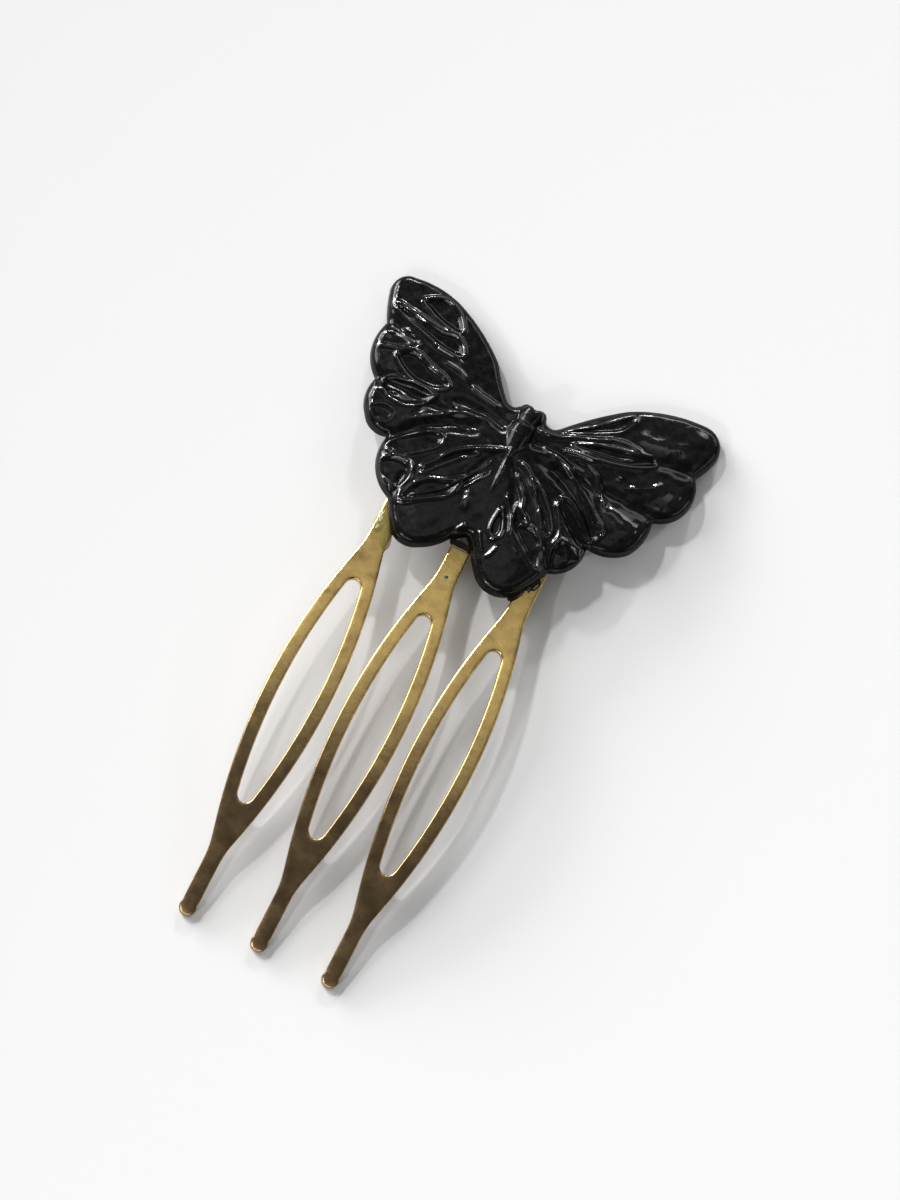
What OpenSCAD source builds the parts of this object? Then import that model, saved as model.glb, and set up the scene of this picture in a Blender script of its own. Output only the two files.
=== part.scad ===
// Three-prong hair comb carrying a cast butterfly, lying on a table.
// +Y runs from the prong tips to the butterfly's head, +Z is up, and the
// origin is the middle of the footprint. All sizes are millimetres.

/* [Comb] */
// Distance from one prong centre to the next
prong_pitch = 9; // [8.6:0.1:10]
// Thickness of the stamped sheet
sheet_t = 0.9; // [0.6:0.05:1.2]
// Radius the prongs are bent to
bend_r = 150; // [120:5:220]
// Greatest width of one prong across its loop
loop_w = 7.6; // [6.6:0.1:8]
// Width of the opening in each loop
slot_w = 4.4; // [3.8:0.1:5]
// Length of the opening in each loop
slot_len = 27.9; // [24:0.1:30]
// Distance from the spine to the start of the opening
slot_start = 10.9; // [10:0.1:13]
// Width of the round-ended tail
tail_w = 1.9; // [1.4:0.05:2.2]
// Distance from the spine to the tip of the tail
prong_len = 52.5; // [50:0.2:56]
// Width of the straight root of each prong
root_w = 2.5; // [2:0.1:3]
// Depth of the flat spine bar behind the butterfly
spine_d = 4.5; // [3.5:0.1:6]
// Diameter of the pinhole in the middle root
pin_d = 0.45; // [0.3:0.05:0.8]

/* [Butterfly] */
// Size of the butterfly against its 43 mm wing span
wing_scale = 1; // [0.94:0.01:1.05]
// Thickness of the casting at the middle of the wings
wing_t = 3.1; // [2.8:0.1:3.6]
// Depth of the cells pressed into the wings
cell_depth = 0.35; // [0.15:0.05:0.6]
// Height of the body ridge above the flat back
body_h = 3.9; // [3.6:0.1:4.6]

/* [Adhesive] */
// Thickness of the bond between the spine and the flat back
bond_t = 0.3; // [0.15:0.05:0.5]
// Height of the dabs above the sheet
dab_h = 0.8; // [0.6:0.1:1.2]

/* [Hidden] */
$fn = 96;
side_r = 68;
end_r = 1.1;
dome_r = 165;
hub_y = 9.2;
slot_mid = slot_start + slot_len / 2;
loop_mid = 25;
spine_w = 2 * prong_pitch + 2.6;
// The height the prong tips fall below the spine, and the angle at rest
tip_a = asin(prong_len / (bend_r - sheet_t));
tip_drop = bend_r - (bend_r - sheet_t) * cos(tip_a);
head_y = 24.53 * wing_scale;
rest_a = atan((tip_drop + bond_t) / (prong_len + head_y));
rest_z = prong_len * -sin(rest_a) + tip_drop * cos(rest_a);
// The middle of the length at rest
back_y = -prong_len * cos(rest_a) - (tip_drop - sheet_t * cos(tip_a)) * sin(rest_a);
front_y = head_y * cos(rest_a) + (bond_t + 1.5) * sin(rest_a);
mid_y = (back_y + front_y) / 2;

// Points of a circular arc from p to q that bulges by s to the left
function arc(p, q, s, n = 9) =
  let (
    d = q - p,
    c = norm(d),
    r = (c * c / 4 + s * s) / (2 * s),
    m = (p + q) / 2 + [-d.y, d.x] / c * (s - r),
    a = atan2(p.y - m.y, p.x - m.x),
    w = atan2(q.y - m.y, q.x - m.x) - a,
    t = s > 0 ? (w > 0 ? w - 360 : w) : (w < 0 ? w + 360 : w)
  )
  [for (i = [0:n - 1]) m + abs(r) * [cos(a + t * i / n), sin(a + t * i / n)]];

// Notches between the lobes, from the head round to the tail
head_p = [2.6, 15.4];
lead_p = [6.0, 18.9];
top_p = [19.2, 24.5];
fore_p = [20.0, 18.2];
mid_p = [18.0, 11.2];
rear_p = [13.1, 5.1];
hind_p = [10.1, -0.6];
low_p = [5.5, -5.3];
tail_p = [1.3, -1.6];
wing_pts = concat(
  [[0, 15.0]],
  arc(head_p, lead_p, -0.1),
  arc(lead_p, top_p, 1.7, 14),
  arc(top_p, fore_p, 1.95, 12),
  arc(fore_p, mid_p, 1.7, 12),
  arc(mid_p, rear_p, 2.2, 12),
  arc(rear_p, hind_p, 1.25, 10),
  arc(hind_p, low_p, 1.1, 10),
  arc(low_p, tail_p, 0.7, 8),
  [tail_p, [0, -0.9]]
);

// Puts a shape drawn in the plane of the spine into its place at rest
module at_rest() {
  translate([0, -mid_y, rest_z]) rotate([-rest_a, 0, 0]) children();
}

// Lens between two points, made from two arcs
module lens(p, q, w) {
  c = norm(q - p);
  r = (c * c / 4 + w * w / 4) / w;
  a = atan2(q.y - p.y, q.x - p.x);
  translate((p + q) / 2) rotate(a) intersection() {
    translate([0, r - w / 2]) circle(r, $fn = 90);
    translate([0, w / 2 - r]) circle(r, $fn = 90);
  }
}

// Outline of one prong, its centre line on Y
module prong_outline() {
  difference() {
    union() {
      translate([-root_w / 2, -14]) square([root_w, 15]);
      intersection() {
        translate([side_r - loop_w / 2, -loop_mid]) circle(side_r, $fn = 360);
        translate([loop_w / 2 - side_r, -loop_mid]) circle(side_r, $fn = 360);
        translate([-5, -48]) square([10, 44]);
      }
      translate([-tail_w / 2, -prong_len + tail_w / 2])
        square([tail_w, prong_len - 42]);
      translate([0, -prong_len + tail_w / 2]) circle(tail_w / 2);
    }
    translate([0, -slot_mid]) slot_outline();
  }
}

// Outline of the long opening of one prong
module slot_outline() {
  half = slot_len / 2 - end_r;
  intersection() {
    translate([side_r - slot_w / 2, 0]) circle(side_r, $fn = 360);
    translate([slot_w / 2 - side_r, 0]) circle(side_r, $fn = 360);
    square([slot_w + 1, 2 * half], center = true);
  }
  for (s = [-1, 1]) translate([0, s * half]) circle(end_r);
}

// Outline of the flat spine bar with its round corners
module spine_outline() {
  r = 1.2;
  translate([-spine_w / 2 + r, 0]) square([spine_w - 2 * r, spine_d]);
  translate([-spine_w / 2, r]) square([spine_w, spine_d - 2 * r]);
  for (x = [-1, 1], y = [r, spine_d - r])
    translate([x * (spine_w / 2 - r), y]) circle(r);
}

// Sheet bent to the comb's arch: flat at the spine, then a round bend
module arched_sheet() {
  w = 40;
  translate([-w / 2, 0, -sheet_t]) cube([w, 8, sheet_t]);
  intersection() {
    translate([-w / 2, 0, -bend_r]) rotate([0, 90, 0]) difference() {
      cylinder(h = w, r = bend_r, $fn = 720);
      translate([0, 0, -1]) cylinder(h = w + 2, r = bend_r - sheet_t, $fn = 720);
    }
    translate([-w / 2, -60, -25]) cube([w, 60, 26]);
  }
}

// Bent comb in the plane of the spine
module comb_shape() {
  intersection() {
    translate([0, 0, -24]) linear_extrude(26) difference() {
      union() {
        spine_outline();
        for (i = [-1, 0, 1]) translate([i * prong_pitch, 0]) prong_outline();
      }
      translate([0, -6]) circle(pin_d / 2, $fn = 24);
    }
    arched_sheet();
  }
}

// One-piece stamped comb
module comb() {
  color("darkgoldenrod") at_rest() comb_shape();
}

// Outline of both wings
module wings_outline() {
  scale(wing_scale) {
    polygon(wing_pts);
    mirror([1, 0]) polygon(wing_pts);
  }
}

// Cells of one wing pair, as flat outlines
module cells_outline() {
  scale(wing_scale) {
    lens([4.6, 15.6], [11.2, 20.8], 1.4);
    lens([4.6, 14.0], [15.6, 17.0], 2.0);
    lens([11.8, 21.1], [17.4, 22.4], 2.2);
    lens([10.4, 18.4], [20.0, 20.0], 1.8);
    lens([10.2, 13.6], [17.0, 14.6], 2.2);
    lens([11.0, 11.8], [17.0, 9.8], 1.8);
    lens([14.0, 8.0], [16.8, 6.6], 1.6);
    lens([7.6, 7.6], [12.6, 3.8], 2.0);
    lens([3.0, 9.0], [9.0, 3.4], 1.8);
    lens([2.2, 7.0], [8.4, 0.6], 2.0);
    lens([9.6, 2.6], [12.0, 0.8], 1.8);
    lens([1.5, 3.2], [2.6, 0.4], 1.2);
  }
}

// Ball that gives the casting its low dome, with its top at height h
module dome(h) {
  translate([0, hub_y * wing_scale, h - dome_r]) rotate([90, 0, 0]) sphere(dome_r, $fn = 240);
}

// Body of the butterfly lying along Y
module body() {
  axis_z = body_h - 1.9;
  translate([0, 3.4, axis_z]) rotate([-90, 0, 0]) rotate_extrude($fn = 48)
    polygon([
      [0, 0], [0.6, 0.3], [1.0, 1.8], [1.2, 3.6], [1.1, 5.6], [1.6, 7.2],
      [1.9, 9.0], [1.7, 10.4], [1.2, 11.2], [0, 11.3]
    ]);
  translate([0, 14.8, axis_z]) sphere(1.45, $fn = 40);
  for (x = [-1, 1]) translate([x, 16.1, axis_z]) sphere(0.75, $fn = 28);
}

// One-piece cast butterfly with a flat back
module butterfly() {
  color([0.08, 0.08, 0.09]) at_rest() translate([0, 0, bond_t]) union() {
    difference() {
      intersection() {
        linear_extrude(6) wings_outline();
        dome(wing_t);
      }
      difference() {
        linear_extrude(6) for (m = [0, 1]) mirror([m, 0]) cells_outline();
        dome(wing_t - cell_depth);
      }
    }
    body();
  }
}

// Dab of adhesive round one root: a low lens, less the comb and the wings
module dab(x, y, r) {
  low = sheet_t - 0.1;
  h = (dab_h + low) / 2;
  ball = (r * r + h * h) / (2 * h);
  color([0.35, 0.3, 0.12]) at_rest() difference() {
    translate([x, y, 0]) intersection() {
      translate([0, 0, dab_h - ball]) sphere(ball);
      translate([0, 0, ball - low]) sphere(ball);
    }
    translate([0, 0, bond_t]) linear_extrude(6) wings_outline();
    comb_shape();
  }
}

module glue_left() {
  dab(0.2 - prong_pitch, -4.4, 2.1);
}

module glue_middle() {
  dab(0, -1.3, 2.1);
}

module glue_right() {
  dab(prong_pitch - 0.4, -3.6, 2.1);
}

comb();
butterfly();
glue_left();
glue_middle();
glue_right();
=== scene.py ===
"""Looks of a three-prong brass hair comb that carries a cast black butterfly.

Every length is worked out in millimetres in the plane of the comb's spine (X across, Y towards
the butterfly's head, Z out of its front) and then carried to the resting place in metres.
"""

import logging
import math
from dataclasses import dataclass, field
from enum import Enum

import bpy
import numpy as np
from mathutils import Matrix, Vector
from mathutils.geometry import delaunay_2d_cdt


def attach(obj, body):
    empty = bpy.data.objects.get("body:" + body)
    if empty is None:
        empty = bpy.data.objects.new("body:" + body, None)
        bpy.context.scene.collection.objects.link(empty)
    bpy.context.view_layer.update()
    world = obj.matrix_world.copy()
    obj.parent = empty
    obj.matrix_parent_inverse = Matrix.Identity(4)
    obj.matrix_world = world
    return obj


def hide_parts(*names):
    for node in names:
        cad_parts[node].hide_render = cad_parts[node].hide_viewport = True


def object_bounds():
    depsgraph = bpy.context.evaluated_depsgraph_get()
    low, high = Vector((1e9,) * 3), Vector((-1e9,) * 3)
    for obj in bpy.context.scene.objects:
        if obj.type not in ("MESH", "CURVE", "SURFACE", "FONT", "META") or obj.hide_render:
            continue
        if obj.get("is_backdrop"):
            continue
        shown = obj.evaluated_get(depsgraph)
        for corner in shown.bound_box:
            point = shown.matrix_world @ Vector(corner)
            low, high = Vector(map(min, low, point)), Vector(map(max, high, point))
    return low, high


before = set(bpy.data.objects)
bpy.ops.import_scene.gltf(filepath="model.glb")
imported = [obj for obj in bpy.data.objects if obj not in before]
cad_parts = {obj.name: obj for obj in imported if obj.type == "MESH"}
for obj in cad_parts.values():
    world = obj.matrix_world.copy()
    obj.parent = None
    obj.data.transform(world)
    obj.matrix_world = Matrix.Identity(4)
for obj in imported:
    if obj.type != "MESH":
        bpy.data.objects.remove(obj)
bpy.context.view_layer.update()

LOG = logging.getLogger("hair_comb")
MM = 0.001
BODY = "root"
# The triangulation keeps what is inside the outlines, with holes, and merges points this close.
INSIDE_WITH_HOLES = 2
MERGE_MM = 1e-7
# Gaps inside a face are measured in this many blocks, to save memory.
BLOCKS = 60


class Slot(Enum):
    """Material slots that the finished pieces take."""

    BRASS = "comb_brass"
    RESIN = "butterfly_resin"
    ADHESIVE = "adhesive"


# ---------------------------------------------------------------- helpers


def linear_rgba(hex_colour: str) -> tuple[float, float, float, float]:
    """Turns an sRGB hex colour into linear red, green, blue and alpha.

    Args:
        hex_colour: Six hex digits, such as "b08d57".

    Returns:
        The linear colour with an alpha of one.
    """
    srgb = [int(hex_colour[i : i + 2], 16) / 255 for i in (0, 2, 4)]
    red, green, blue = [
        c / 12.92 if c <= 0.04045 else ((c + 0.055) / 1.055) ** 2.4 for c in srgb
    ]
    return red, green, blue, 1.0


def add_node(
    tree: bpy.types.NodeTree,
    kind: str,
    settings: dict | None = None,
    links: dict | None = None,
) -> bpy.types.Node:
    """Adds one shader node, sets its properties and sockets, and links its inputs.

    Args:
        tree: Node tree that takes the node.
        kind: Blender's node type name.
        settings: Property names, or input names or numbers, with their values. A colour
            ramp's "stops" are places from 0 to 1 with their linear colours.
        links: Input names or numbers with the output sockets that feed them.

    Returns:
        The new node.
    """
    node = tree.nodes.new(kind)
    for key, value in (settings or {}).items():
        if key == "stops":
            elements = node.color_ramp.elements
            while len(elements) < len(value):
                elements.new(0.5)
            for element, (place, colour) in zip(elements, value):
                element.position, element.color = place, colour
        elif isinstance(key, str) and hasattr(node, key):
            setattr(node, key, value)
        else:
            node.inputs[key].default_value = value
    for key, output in (links or {}).items():
        tree.links.new(output, node.inputs[key])
    return node


def start_material(
    name: str,
) -> tuple[bpy.types.Material, bpy.types.NodeTree, bpy.types.Node, bpy.types.NodeSocket]:
    """Starts a node material.

    Args:
        name: The material's name.

    Returns:
        The material, its node tree, its shader, and the piece's own coordinates.
    """
    material = bpy.data.materials.new(name)
    material.use_nodes = True
    tree = material.node_tree
    place = add_node(tree, "ShaderNodeTexCoord").outputs["Object"]
    return material, tree, tree.nodes["Principled BSDF"], place


def smooth_step(edge: np.ndarray) -> np.ndarray:
    """Eases 0 to 1 with flat ends: 3t^2 - 2t^3 on the value clipped to that range.

    Args:
        edge: Values to ease.

    Returns:
        The eased values.
    """
    t = np.clip(edge, 0.0, 1.0)
    return t * t * (3.0 - 2.0 * t)


def arc(start: tuple, end: tuple, bulge: float, count: int = 24) -> np.ndarray:
    """Gives points on a circular arc.

    The circle passes through both ends and stands off their chord by the bulge, to the left
    of the way from start to end. The end point is left out.

    Args:
        start: First point.
        end: Last point, not included.
        bulge: Height of the arc over its chord, negative to the right.
        count: Number of points.

    Returns:
        An array of count by 2.
    """
    p, q = np.array(start, float), np.array(end, float)
    chord = np.linalg.norm(q - p)
    radius = (chord**2 / 4 + bulge**2) / (2 * bulge)
    normal = np.array([-(q - p)[1], (q - p)[0]]) / chord
    centre = (p + q) / 2 + normal * (bulge - radius)
    first = math.atan2(*(p - centre)[::-1])
    sweep = math.atan2(*(q - centre)[::-1]) - first
    if bulge > 0 and sweep > 0:
        sweep -= 2 * math.pi
    if bulge < 0 and sweep < 0:
        sweep += 2 * math.pi
    angles = first + sweep * np.arange(count) / count
    return centre + abs(radius) * np.column_stack([np.cos(angles), np.sin(angles)])


def even_loop(points: np.ndarray, step: float, softness: float) -> np.ndarray:
    """Spaces a closed loop evenly and softens its corners.

    Points are placed at equal arc lengths, then a bell-shaped average runs round the loop.

    Args:
        points: Corner points of the loop, the first not repeated.
        step: Wanted spacing.
        softness: Spread of the average, in millimetres along the loop.

    Returns:
        The evenly spaced loop.
    """
    closed = np.vstack([points, points[:1]])
    lengths = np.r_[0, np.cumsum(np.linalg.norm(np.diff(closed, axis=0), axis=1))]
    count = max(12, int(round(lengths[-1] / step)))
    at = np.linspace(0, lengths[-1], count, endpoint=False)
    loop = np.column_stack([np.interp(at, lengths, closed[:, k]) for k in (0, 1)])
    turns = np.fft.fftfreq(count, d=lengths[-1] / count)
    bell = np.exp(-2 * (math.pi * turns * softness) ** 2)
    return np.real(np.fft.ifft(np.fft.fft(loop, axis=0) * bell[:, None], axis=0))


def outward_normals(loop: np.ndarray) -> np.ndarray:
    """Gives the unit normals on the right of a loop's run, from central differences.

    Args:
        loop: Points of a closed loop, the first not repeated.

    Returns:
        One normal for each point.
    """
    along = np.roll(loop, -1, axis=0) - np.roll(loop, 1, axis=0)
    along /= np.linalg.norm(along, axis=1)[:, None]
    return np.column_stack([along[:, 1], -along[:, 0]])


def ring_quads(rows: int, columns: int, offset: int) -> list[list[int]]:
    """Gives the quads of a grid whose rows are closed rings.

    Args:
        rows: Number of rings.
        columns: Points in each ring.
        offset: Index of the grid's first point.

    Returns:
        Four point indices for each quad.
    """
    row, column = np.meshgrid(np.arange(rows - 1), np.arange(columns), indexing="ij")
    after = (column + 1) % columns
    quads = np.stack(
        [
            (row + 1) * columns + column,
            (row + 1) * columns + after,
            row * columns + after,
            row * columns + column,
        ],
        axis=-1,
    )
    return (quads.reshape(-1, 4) + offset).tolist()


def capped_faces(rings: int, columns: int) -> list[list[int]]:
    """Gives the faces of a closed surface: a pole, rings of points, and a second pole.

    Args:
        rings: Number of rings.
        columns: Points in each ring.

    Returns:
        Quads between the rings and triangles round both poles.
    """
    here = np.arange(columns)
    after = (here + 1) % columns
    last = 1 + (rings - 1) * columns
    first_fan = np.column_stack([np.zeros(columns, int), 1 + here, 1 + after])
    last_fan = np.column_stack(
        [np.full(columns, last + columns), last + after, last + here]
    )
    return ring_quads(rings, columns, 1) + first_fan.tolist() + last_fan.tolist()


def nearest_on_path(
    points: np.ndarray, path: np.ndarray
) -> tuple[np.ndarray, np.ndarray]:
    """Gives each point's least distance to a run of straight segments, and where.

    Args:
        points: Array of n by 2.
        path: Array of m by 2, the segments' ends in order.

    Returns:
        The distances, and the shares of the path's segments passed at the nearest place.
    """
    best = np.full(len(points), 1e9)
    place = np.zeros(len(points))
    count = len(path) - 1
    for number, (start, end) in enumerate(zip(path[:-1], path[1:])):
        way = end - start
        share = np.clip((points - start) @ way / max(way @ way, 1e-12), 0, 1)
        offset = points - start - share[:, None] * way
        square = np.einsum("ij,ij->i", offset, offset)
        closer = square < best
        best[closer] = square[closer]
        place[closer] = (number + share[closer]) / count
    return np.sqrt(best), place


def smooth_path(corners: np.ndarray, closed: bool = False, steps: int = 9) -> np.ndarray:
    """Runs a chain of cubics through points, each slope taken from the two neighbours.

    Args:
        corners: Array of n by 2; for a closed path the last repeats the first.
        closed: Whether the path closes.
        steps: Straight steps to each cubic.

    Returns:
        The points of the smooth path.
    """
    if closed:
        padded = np.vstack([corners[-2:-1], corners, corners[1:2]])
    else:
        first, last = 2 * corners[0] - corners[1], 2 * corners[-1] - corners[-2]
        padded = np.vstack([first, corners, last])
    t = np.linspace(0, 1, steps, endpoint=False)[:, None]
    runs = []
    for a, b, c, d in zip(padded, padded[1:], padded[2:], padded[3:]):
        runs.append(
            b
            + 0.5 * t * (c - a)
            + t**2 * (a - 2.5 * b + 2 * c - 0.5 * d)
            + t**3 * (1.5 * (b - c) + 0.5 * (d - a))
        )
    return np.vstack(runs + [corners[-1:]])


def inside_loop(points: np.ndarray, closed: np.ndarray) -> np.ndarray:
    """Tells which points lie inside a closed loop, by counting crossings to the right.

    Args:
        points: Array of n by 2.
        closed: The loop, its last point the same as its first.

    Returns:
        An array of n truth values.
    """
    count = np.zeros(len(points), int)
    for (x0, y0), (x1, y1) in zip(closed[:-1], closed[1:]):
        if y0 != y1:
            spans = (points[:, 1] >= min(y0, y1)) & (points[:, 1] < max(y0, y1))
            crossing = x0 + (points[:, 1] - y0) * (x1 - x0) / (y1 - y0)
            count += spans & (crossing > points[:, 0])
    return count % 2 == 1


# ------------------------------------------------------- place of the parts


@dataclass(frozen=True)
class RestPose:
    """Where the plane of the spine lies when the comb rests on a table.

    The prong tips and the butterfly's upper wing edges touch the table.

    Attributes:
        bend_r: Radius that the prongs are bent to.
        sheet_t: Thickness of the sheet.
        prong_len: Distance from the spine to the tips.
        head_y: Distance from the spine to the wing edges that touch the table.
        bond_t: Thickness of the bond under the butterfly.
        edge_t: Height of the wing edge's foremost line over the back.
    """

    bend_r: float = 150.0
    sheet_t: float = 0.9
    prong_len: float = 52.5
    head_y: float = 24.53
    bond_t: float = 0.3
    edge_t: float = 1.5

    def to_row(self, points: np.ndarray) -> np.ndarray:
        """Turns points in the spine's plane, in millimetres, into resting places in metres.

        The plane turns about X until both contacts are level, then drops onto the table.

        Args:
            points: Array of n by 3.

        Returns:
            An array of n by 3 in the row's frame.
        """
        tip = math.asin(self.prong_len / (self.bend_r - self.sheet_t))
        drop = self.bend_r - (self.bend_r - self.sheet_t) * math.cos(tip)
        lean = math.atan((drop + self.bond_t) / (self.prong_len + self.head_y))
        cos, sin = math.cos(lean), math.sin(lean)
        back = -self.prong_len * cos - (drop - self.sheet_t * math.cos(tip)) * sin
        front = self.head_y * cos + (self.bond_t + self.edge_t) * sin
        lift = drop * cos - self.prong_len * sin
        x, y, z = points.T
        moved = np.column_stack(
            [x, y * cos + z * sin - (back + front) / 2, z * cos - y * sin + lift]
        )
        return moved * MM

    def bend(self, plan: np.ndarray, depth: np.ndarray) -> np.ndarray:
        """Bends flat sheet points to the comb's arch.

        Below the spine a point at depth d lies on a circle of radius bend_r + d about an axis
        bend_r behind the spine, straight under its plan place. Above it the sheet is flat.

        Args:
            plan: Array of n by 2, places in the sheet's plan.
            depth: Array of n, heights over the sheet's front face, negative inside it.

        Returns:
            An array of n by 3.
        """
        below = np.minimum(plan[:, 1], 0.0)
        rise = np.sqrt((self.bend_r + depth) ** 2 - below**2) - self.bend_r
        return np.column_stack([plan, rise])


REST = RestPose()


def make_piece(
    name: str,
    points: np.ndarray,
    faces: list,
    material: bpy.types.Material,
    replaced: list[str],
    attributes: dict[str, np.ndarray] | None = None,
) -> bpy.types.Object:
    """Makes a finished, smooth piece at rest and ties it to the frame.

    Args:
        name: The piece's name.
        points: Array of n by 3 in the spine's plane, in millimetres.
        faces: Lists of point indices.
        material: The piece's finish.
        replaced: CAD nodes that it stands for.
        attributes: Named values per point that the finish reads.

    Returns:
        The new object.
    """
    mesh = bpy.data.meshes.new(name)
    mesh.from_pydata(REST.to_row(points).tolist(), [], faces)
    mesh.validate()
    mesh.polygons.foreach_set("use_smooth", np.ones(len(mesh.polygons), bool))
    for key, values in (attributes or {}).items():
        layer = mesh.attributes.new(key, "FLOAT", "POINT")
        layer.data.foreach_set("value", values.astype(np.float32))
    mesh.materials.append(material)
    mesh.update()
    piece = bpy.data.objects.new(name, mesh)
    bpy.context.scene.collection.objects.link(piece)
    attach(piece, BODY)
    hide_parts(*replaced)
    low, high = np.array(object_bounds()[0]), np.array(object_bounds()[1])
    LOG.info(
        "%s: %d points, %d faces, whole box %s mm",
        name,
        len(mesh.vertices),
        len(mesh.polygons),
        ((high - low) / MM).round(2).tolist(),
    )
    return piece


# ---------------------------------------------------------------- finishes


@dataclass(frozen=True)
class StampedBrass:
    """Brass sheet, stamped, bent and gilt: warm gold, duller in patches.

    Fine scratches run down the prongs and catch the light as thin streaks, soft brown tarnish
    breaks up the shine, and the colour is painted darker and browner towards the tips as painted
    shade, standing in for the dark reflection of the lower prongs.

    Attributes:
        gold: Colour where the gilding is whole.
        worn: Colour where it is thin.
        tarnish: Colour of the dull patches.
        tip_shade_colour: Colour painted towards the tips as painted shade, standing in for their
            dark reflection.
        hole_shade_colour: Near-black colour painted in the pinhole as painted shade, standing in
            for the shade inside the hole.
        roughness: Roughness of clean metal.
        rough_gain: How much rougher the dull patches are.
        scratch_mm: Spacing of the scratches.
        scratch_run: How many times their pattern changes along a metre of prong.
        scratch_turn: How far they lean from the prongs, in radians.
        patch_mm: Size of the dull patches.
        dent_mm: Size of the shallow dents left by the press.
        dent_depth_mm: Depth of the dents.
        scratch_depth_mm: Depth of the scratches.
        tip_shade_start: Y where the painted shade towards the tips starts, in metres.
        tip_shade_end: Y from which that painted shade is strongest.
        tip_shade_share: Share of the painted shade colour there.
    """

    gold: str = "cfb36e"
    worn: str = "b99d62"
    tarnish: str = "8f7449"
    tip_shade_colour: str = "967c61"
    hole_shade_colour: str = "241a10"
    roughness: float = 0.21
    rough_gain: float = 0.09
    scratch_mm: float = 0.16
    scratch_run: float = 40.0
    scratch_turn: float = 0.12
    patch_mm: float = 2.6
    dent_mm: float = 2.1
    dent_depth_mm: float = 0.09
    scratch_depth_mm: float = 0.01
    tip_shade_start: float = 0.002
    tip_shade_end: float = -0.024
    tip_shade_share: float = 0.8

    def material(self) -> bpy.types.Material:
        """Builds the brass.

        Patches set its colour and roughness, height along Y paints shade towards the tips, and
        dents and scratches tilt the surface.

        Returns:
            The material.
        """
        material, tree, shader, place = start_material("stamped brass")
        patches = add_node(
            tree,
            "ShaderNodeTexNoise",
            {"Scale": 1 / (self.patch_mm * MM), "Detail": 5.0, "Roughness": 0.62},
            {"Vector": place},
        ).outputs["Fac"]
        stops = [
            (0.26, linear_rgba(self.tarnish)),
            (0.44, linear_rgba(self.worn)),
            (0.62, linear_rgba(self.gold)),
        ]
        colour = add_node(
            tree, "ShaderNodeValToRGB", {"stops": stops}, {"Fac": patches}
        ).outputs["Color"]
        height = add_node(tree, "ShaderNodeSeparateXYZ", links={0: place}).outputs["Y"]
        # Painted shade: the colour grows darker and browner towards the prong tips, in place of
        # the dark reflection there.
        tip_shade_mask = add_node(
            tree,
            "ShaderNodeMapRange",
            {
                "interpolation_type": "SMOOTHSTEP",
                1: self.tip_shade_start,
                2: self.tip_shade_end,
                3: 0.0,
                4: self.tip_shade_share,
            },
            {"Value": height},
        ).outputs["Result"]
        tip_shaded_colour = add_node(
            tree,
            "ShaderNodeMix",
            {"data_type": "RGBA", 7: linear_rgba(self.tip_shade_colour)},
            {0: tip_shade_mask, 6: colour},
        ).outputs[2]
        # Painted shade: points marked round the pinhole take a near-black colour in place of the
        # shade inside the hole.
        grime = add_node(
            tree, "ShaderNodeAttribute", {"attribute_name": "grime"}
        ).outputs["Fac"]
        mix = add_node(
            tree,
            "ShaderNodeMix",
            {"data_type": "RGBA", 7: linear_rgba(self.hole_shade_colour)},
            {0: grime, 6: tip_shaded_colour},
        ).outputs[2]
        run = self.scratch_run
        along = add_node(
            tree,
            "ShaderNodeMapping",
            {
                "Scale": (1 / (self.scratch_mm * MM), run, run),
                "Rotation": (0, 0, self.scratch_turn),
            },
            {"Vector": place},
        ).outputs["Vector"]
        scratches = add_node(
            tree,
            "ShaderNodeTexNoise",
            {"Scale": 1.0, "Detail": 3.0, "Roughness": 0.7},
            {"Vector": along},
        ).outputs["Fac"]
        dents = add_node(
            tree,
            "ShaderNodeTexNoise",
            {"Scale": 1 / (self.dent_mm * MM), "Detail": 6.0, "Roughness": 0.66},
            {"Vector": place},
        ).outputs["Fac"]
        rough = add_node(
            tree,
            "ShaderNodeMapRange",
            {1: 0.3, 2: 0.7, 3: self.roughness, 4: self.roughness + self.rough_gain},
            {"Value": patches},
        ).outputs["Result"]
        dented = add_node(
            tree,
            "ShaderNodeBump",
            {"Strength": 0.34, "Distance": self.dent_depth_mm * MM},
            {"Height": dents},
        ).outputs["Normal"]
        scored = add_node(
            tree,
            "ShaderNodeBump",
            {"Strength": 0.5, "Distance": self.scratch_depth_mm * MM},
            {"Height": scratches, "Normal": dented},
        ).outputs["Normal"]
        shader.inputs["Metallic"].default_value = 1.0
        tree.links.new(mix, shader.inputs["Base Color"])
        tree.links.new(rough, shader.inputs["Roughness"])
        tree.links.new(scored, shader.inputs["Normal"])
        return material


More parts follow.
